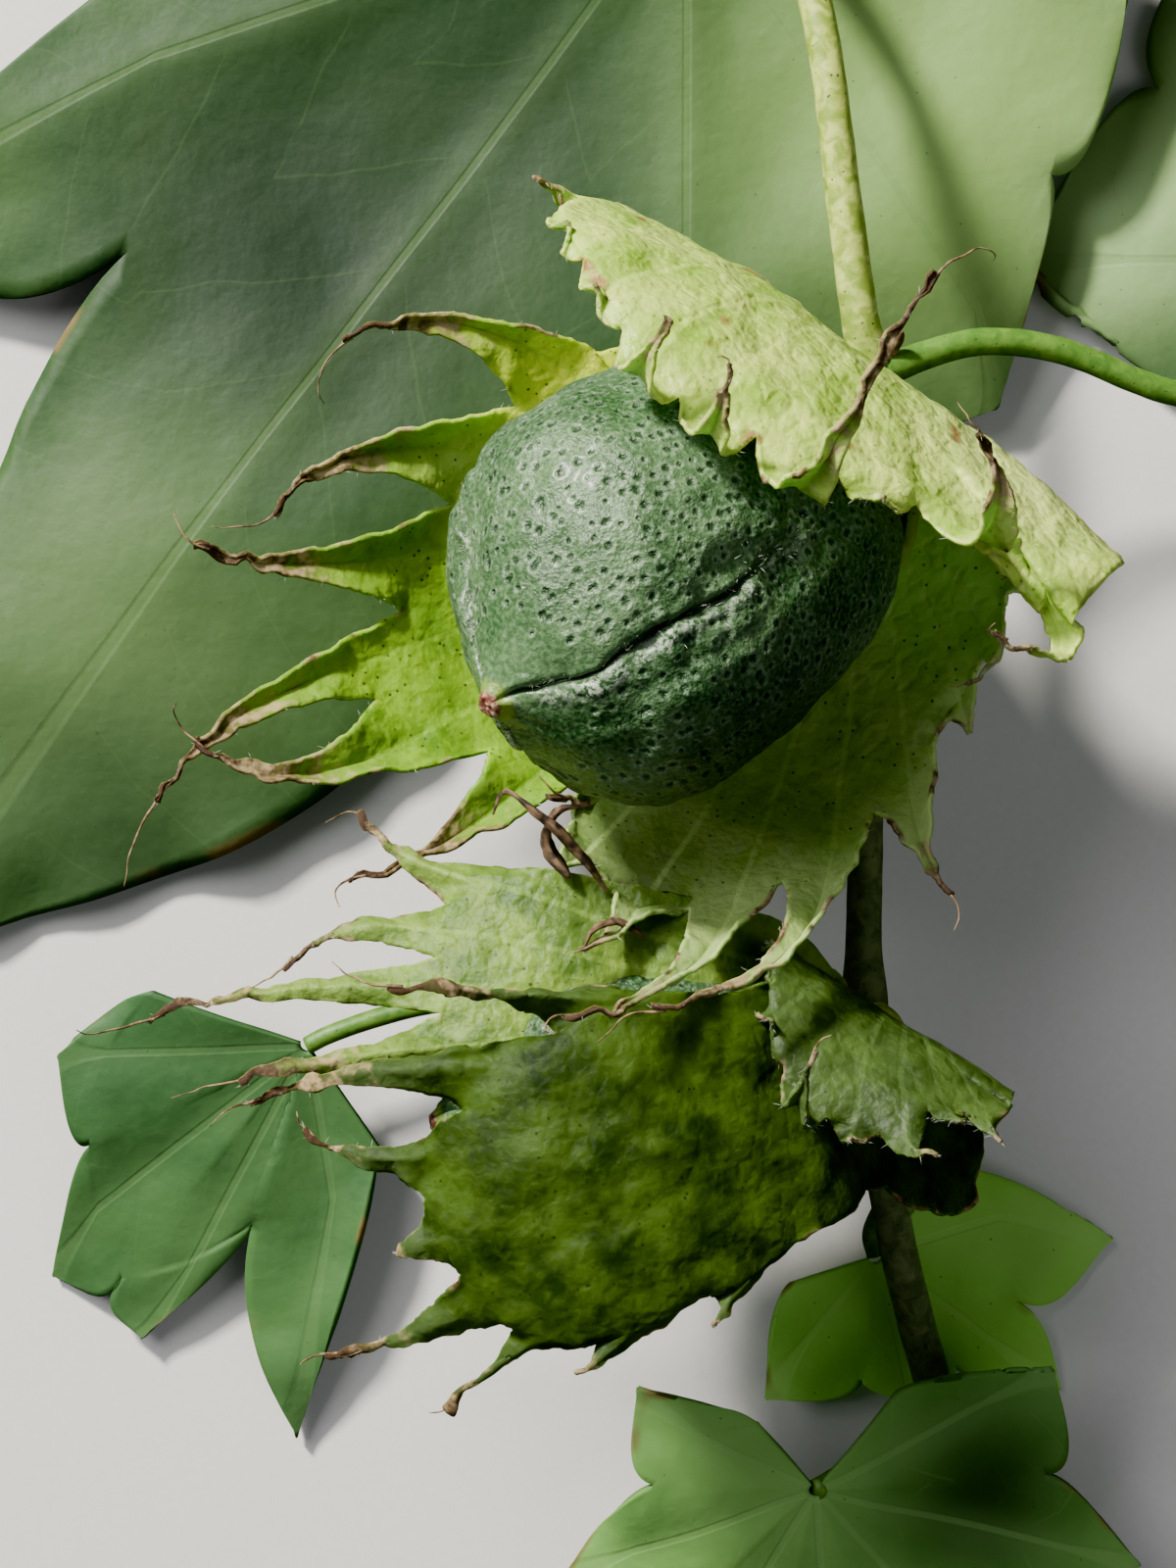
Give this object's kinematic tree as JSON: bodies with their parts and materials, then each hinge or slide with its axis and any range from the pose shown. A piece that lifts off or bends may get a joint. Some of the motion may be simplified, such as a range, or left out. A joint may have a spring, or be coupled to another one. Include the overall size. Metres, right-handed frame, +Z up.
{
  "type": "cotton branch with bolls",
  "caption": "Cut fruiting branch of cotton: pitted green bolls in long-toothed bracts on a slim jointed stem, with broad lobed leaves on long stalks, lying flat.",
  "frame": {"origin": "centre of the branch's footprint, on the ground that it lies on", "axes": "+Z up from the ground, +Y along the main stem towards its upper node, +X to the right of it, seen from above"},
  "size_m": [0.1494, 0.2066, 0.0669],
  "materials": {
    "boll": "waxy, pitted skin with a soft gloss",
    "bract": "thin, matt, hairy leaf tissue, dry and brown at its teeth",
    "calyx": "smooth, matt green",
    "leaf": "soft sheen with pale veins",
    "stem": "dark green bark, satin",
    "stalk": "yellow-green, satin, with dark specks"
  },
  "bodies": {
    "root": {"boll_open": "boll", "boll_young": "boll", "calyx_open": "calyx", "calyx_young": "calyx", "main_stem": "stem", "pedicel_open": "stalk", "pedicel_young": "stalk", "bract_open_low": "bract", "bract_open_left": "bract", "bract_open_top": "bract", "bract_young_front": "bract", "bract_young_top": "bract", "bract_young_fold": "bract", "leaf_top": "leaf", "leaf_left": "leaf", "leaf_foot": "leaf", "leaf_behind": "leaf", "leaf_right": "leaf", "petiole_top": "stalk", "petiole_left": "stalk", "petiole_behind": "stalk", "petiole_right": "stalk", "petiole_foot": "stalk"}
  },
  "joints": []
}
